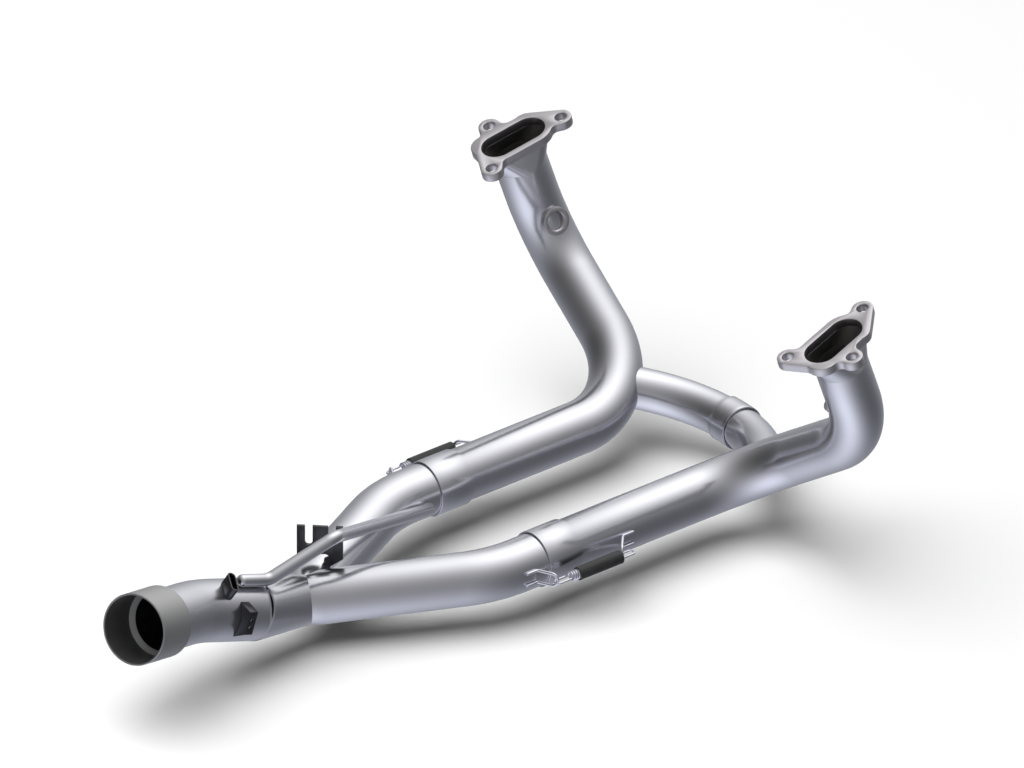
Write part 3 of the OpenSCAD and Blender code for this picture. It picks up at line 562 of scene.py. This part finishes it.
# %% Springs
WIRE_R, COIL_R, COIL_L, COIL_FROM, COIL_PITCH = 0.9, 3.6, 50, 8, 2.25
LOOP_L, LEAD = 16.5, 1.8
LEAD_ANGLE = math.asin(LEAD / COIL_R)
LOOP_R = COIL_R * math.cos(LEAD_ANGLE)
X, Y, Z = Vector((1, 0, 0)), Vector((0, 1, 0)), Vector((0, 0, 1))
for side_name, side in SIDE_NAMES:
    def spot(x, y, z):
        return at(TRACK + SPRING_X + x, COIL_FROM + y, z - 1)

    loop_y = LOOP_L - WIRE_R - LOOP_R
    bm = bmesh.new()
    ring = start_ring(bm, spot(-LOOP_R, -2 * LEAD, 0), -Y, WIRE_R, 10)
    ring = push(bm, ring, -Y * (loop_y - 2 * LEAD) * MM)
    ring = bend(bm, ring, spot(0, -loop_y, 0), Z, math.pi, step=math.radians(12))
    ring = push(bm, ring, Y * (loop_y - LEAD) * MM)
    ring = bend(bm, ring, spot(LOOP_R, -LEAD, LEAD), X, math.pi / 2, step=math.radians(15))
    coil_turns = round(COIL_L / COIL_PITCH)
    swing = 2 * math.pi * coil_turns - 2 * LEAD_ANGLE
    tip = Matrix.Rotation(-LEAD_ANGLE, 3, "Y")
    bmesh.ops.rotate(bm, verts=ring_verts(ring), cent=spot(LOOP_R, 0, LEAD), matrix=tip)
    ring = bend(bm, ring, spot(0, 0, 0), -Y, swing, slide=Y * COIL_L * MM, step=math.radians(15))
    bmesh.ops.rotate(bm, verts=ring_verts(ring), cent=spot(LOOP_R, COIL_L, -LEAD), matrix=tip)
    ring = bend(bm, ring, spot(LOOP_R, COIL_L + LEAD, -LEAD), -X, math.pi / 2, step=math.radians(15))
    ring = push(bm, ring, Y * (loop_y - LEAD) * MM)
    ring = bend(bm, ring, spot(0, COIL_L + loop_y, 0), Z, math.pi, step=math.radians(12))
    push(bm, ring, -Y * (loop_y - 2 * LEAD) * MM)
    bmesh.ops.holes_fill(bm, edges=open_edges(bm))
    finish_piece(bm, f"{side_name}_coil_spring", "wire_steel", [f"{side_name}_spring"],
                 side=side, smooth_to=45)

# %% [markdown]
# The rubber tube keeps the coil from rattling. It is cut from hose, so its wall is even, its cut ends
# are slightly rounded, and the coils inside press faint ribs into it.

# %% Spring covers
COVER_R, COVER_FROM, COVER_L = 5.8, 15, 45
for side_name, side in SIDE_NAMES:
    bm = bmesh.new()
    ribs = [(COVER_R - (0.12 if i % 2 else 0), 1.5 + 1.05 * i) for i in range(41)]
    turn_profile(bm, facing(at(TRACK + SPRING_X, COVER_FROM, -1), AHEAD), [
        (4.6, 0.4), (4.9, 0), (5.3, 0), (5.7, 0.5)] + ribs + [
        (5.7, COVER_L - 0.5), (5.3, COVER_L), (4.9, COVER_L), (4.6, COVER_L - 0.4)], 40)
    finish_piece(bm, f"{side_name}_rubber_tube", "rubber", [f"{side_name}_spring_cover"],
                 side=side, smooth_to=60)

# %% [markdown]
# ## Brace rod
# A round bar runs from beside the left pipe, over the merge, to the collector. Its two ends are domed,
# which four short pushes of a shrinking ring give.

# %% Brace rod
ROD_R, ROD_BEND = 5.4, 16
rod_path = [at(-43.65, -14.4, 0), at(20.3, -165.5, 58),
            at(10.6, -227.5, 35.5015), at(9.1, -257.6, 45.1264)]


def dome(bm, ring, direction, radius):
    """Closes a ring with a dome of a given radius."""
    reach, height = radius, 0.0
    for turn_deg in (25, 45, 62, 76):
        a = math.radians(turn_deg)
        rise, width = radius * math.sin(a), radius * math.cos(a)
        ring = push(bm, ring, direction * (rise - height) * MM, width / reach)
        reach, height = width, rise
    bmesh.ops.holes_fill(bm, edges=ring)


bm = bmesh.new()
first = (rod_path[1] - rod_path[0]).normalized()
last = (rod_path[-1] - rod_path[-2]).normalized()
rod_path[0] += first * ROD_R * MM
rod_path[-1] -= last * ROD_R * MM
end_ring = run_pipe(bm, rod_path, [ROD_BEND, ROD_BEND], ROD_R, 32)
dome(bm, end_ring, last, ROD_R)
dome(bm, open_edges(bm), -first, ROD_R)
finish_piece(bm, "bent_brace_rod", "pipe_steel", ["brace_rod"])

# %% [markdown]
# ## Camera
# The picture was taken from far away with a long lens, so the pipes look almost parallel. A very long
# lens at a great distance gives that, and its place was worked out from where the flanges, pipes and
# outlet fall in the picture.

# %% Camera
lens = bpy.data.cameras.new("long_lens")
lens.lens, lens.sensor_width = 1200, 36
lens.clip_start, lens.clip_end = 1, 100
camera = bpy.data.objects.new("camera", lens)
bpy.context.scene.collection.objects.link(camera)
camera.location = (18.84691, -14.51729, 14.23539)
camera.rotation_euler = [math.radians(a) for a in (59.51584, -0.08016, 51.70193)]
bpy.context.scene.camera = camera
bpy.context.scene.view_settings.view_transform = "Standard"
centre = (cad_box[0] + cad_box[1]) / 2
print("camera is", round((camera.location - centre).length, 1), "m away")

# %% [markdown]
# ## Floor
# A white sheet lies a finger's width below the part, because in the picture the part hovers over its
# shadow. It is lit to just about white, so it melts into the background and keeps only the soft shadow.

# %% Floor
HOVER, FLOOR_WIDTH, PAPER_WHITE = 20, 30, 0.9
paper = bpy.data.materials.new("white_paper")
paper.use_nodes = True
paper_shader = paper.node_tree.nodes["Principled BSDF"]
paper_shader.inputs["Base Color"].default_value = (PAPER_WHITE, PAPER_WHITE, PAPER_WHITE, 1)
paper_shader.inputs["Roughness"].default_value = 1.0
paper_shader.inputs["Specular IOR Level"].default_value = 0.0
floor_z = cad_box[0].z - HOVER * MM
bm = bmesh.new()
bmesh.ops.create_grid(bm, x_segments=1, y_segments=1, size=FLOOR_WIDTH / 2,
                      matrix=Matrix.Translation((centre.x, centre.y, floor_z)))
mesh = bpy.data.meshes.new("floor")
bm.to_mesh(mesh)
bm.free()
floor = bpy.data.objects.new("floor", mesh)
bpy.context.scene.collection.objects.link(floor)
mesh.materials.append(paper)
floor.visible_glossy = False
print("floor at z =", round(floor_z, 4))

# %% [markdown]
# ## A tent that only the metal sees
# Polished tube is a mirror, so its bright line and its dark band are pictures of the room. Photographers
# hang a cloth tent round such work. This one is a large ball that is brightest high up and in front on
# the left, dark out to both sides and behind, and a little lilac below. Its glow depends on the direction
# alone. The logarithm of the brightness is a slope along each axis plus square and cross terms, which
# give the simplest smooth room with two bright sides and two dark ones. Only mirror paths from the camera
# see the tent. Diffuse Depth is 0 on those, so it neither shows nor throws light off the pipes onto the
# floor.

# %% Tent
TENT_R = 6
SLOPE, SQUARE, CROSS = (0.089, 0.224, 0.123), (-1.286, -1.054, 0.0), (-1.305, 1.625, 0.018)
LEVEL = -0.11
tent_cloth = bpy.data.materials.new("tent_cloth")
tent_cloth.use_nodes = True
tree = tent_cloth.node_tree
tree.nodes.remove(tree.nodes["Principled BSDF"])


def add_math(kind, operation, first, second=None):
    """A math or vector math node; both of its inputs may be sockets or values."""
    node = add_node(tree, kind, {"operation": operation})
    for socket, value in zip(node.inputs, (first, second)):
        if isinstance(value, bpy.types.NodeSocket):
            tree.links.new(value, socket)
        elif value is not None:
            socket.default_value = value
    return node.outputs["Value" if kind == "Math" or operation == "DOT_PRODUCT" else "Vector"]


way = add_math("VectorMath", "NORMALIZE", add_node(tree, "TexCoord").outputs["Object"])
parts = add_node(tree, "SeparateXYZ", Vector=way)
shifted = add_node(tree, "CombineXYZ", X=parts.outputs["Y"], Y=parts.outputs["Z"],
                   Z=parts.outputs["X"])
total = add_math("VectorMath", "DOT_PRODUCT", way, SLOPE)
for other, weights in ((way, SQUARE), (shifted.outputs["Vector"], CROSS)):
    product = add_math("VectorMath", "MULTIPLY", way, other)
    term = add_math("VectorMath", "DOT_PRODUCT", product, weights)
    total = add_math("Math", "ADD", total, term)
brightness = add_math("Math", "EXPONENT", add_math("Math", "ADD", total, LEVEL))
depth = add_node(tree, "LightPath").outputs["Diffuse Depth"]
seen_direct = add_math("Math", "LESS_THAN", depth, 0.5)
brightness = add_math("Math", "MULTIPLY", brightness, seen_direct)
height = add_node(tree, "MapRange", Value=parts.outputs["Z"], From_Min=-0.8, From_Max=0.5)
tinge = add_node(tree, "Mix", {"data_type": "RGBA"}, Factor=height.outputs["Result"])
tinge.inputs["A"].default_value = (0.94, 0.97, 1.09, 1)
tinge.inputs["B"].default_value = (1.0, 1.0, 1.0, 1)
glow = add_node(tree, "Emission", Color=tinge.outputs["Result"], Strength=brightness)
tree.links.new(glow.outputs["Emission"], tree.nodes["Material Output"].inputs["Surface"])
bm = bmesh.new()
bmesh.ops.create_icosphere(bm, subdivisions=4, radius=TENT_R)
mesh = bpy.data.meshes.new("tent")
bm.to_mesh(mesh)
bm.free()
tent = bpy.data.objects.new("tent", mesh)
bpy.context.scene.collection.objects.link(tent)
tent.location = centre
mesh.materials.append(tent_cloth)
tent.visible_camera = tent.visible_diffuse = tent.visible_shadow = False
tent.visible_transmission = tent.visible_volume_scatter = False
print("tent radius:", TENT_R, "m")

# %% [markdown]
# ## Light
# One very large round softbox above, a little to the rear left, casts the soft shadow. The world is
# white to the camera and to reflections, and dim to everything else, so the shadow stays deep. The metal
# sees the tent in place of the lamp.

# %% Lamp and world
light = bpy.data.lights.new("key", "AREA")
LAMP_WIDTH, LAMP_AWAY, LAMP_WATTS, DIM = 6.6, 5.2, 405, 0.24
light.shape, light.size, light.energy = "DISK", LAMP_WIDTH, LAMP_WATTS
lamp = bpy.data.objects.new("key", light)
bpy.context.scene.collection.objects.link(lamp)
away = Vector((-0.12, -0.35, 1)).normalized()
lamp.location = centre + away * LAMP_AWAY
lamp.visible_glossy = False
lamp.rotation_euler = away.to_track_quat("Z", "Y").to_euler()
world = bpy.data.worlds.new("studio")
bpy.context.scene.world = world
world.use_nodes = True
tree = world.node_tree
rays = add_node(tree, "LightPath")
seen = add_node(tree, "Math", {"operation": "ADD"})
tree.links.new(rays.outputs["Is Camera Ray"], seen.inputs[0])
tree.links.new(rays.outputs["Is Glossy Ray"], seen.inputs[1])
through = add_node(tree, "Math", {"operation": "ADD", "use_clamp": True})
tree.links.new(seen.outputs["Value"], through.inputs[0])
tree.links.new(rays.outputs["Is Transmission Ray"], through.inputs[1])
soft = tree.nodes["Background"]
soft.inputs["Color"].default_value = (1, 1, 1, 1)
soft.inputs["Strength"].default_value = DIM
white = add_node(tree, "Background", Color=(1, 1, 1, 1), Strength=1.0)
both = add_node(tree, "MixShader", Fac=through.outputs["Value"])
tree.links.new(soft.outputs["Background"], both.inputs[1])
tree.links.new(white.outputs["Background"], both.inputs[2])
tree.links.new(both.outputs["Shader"], tree.nodes["World Output"].inputs["Surface"])
print("lamp energy:", light.energy, "W")
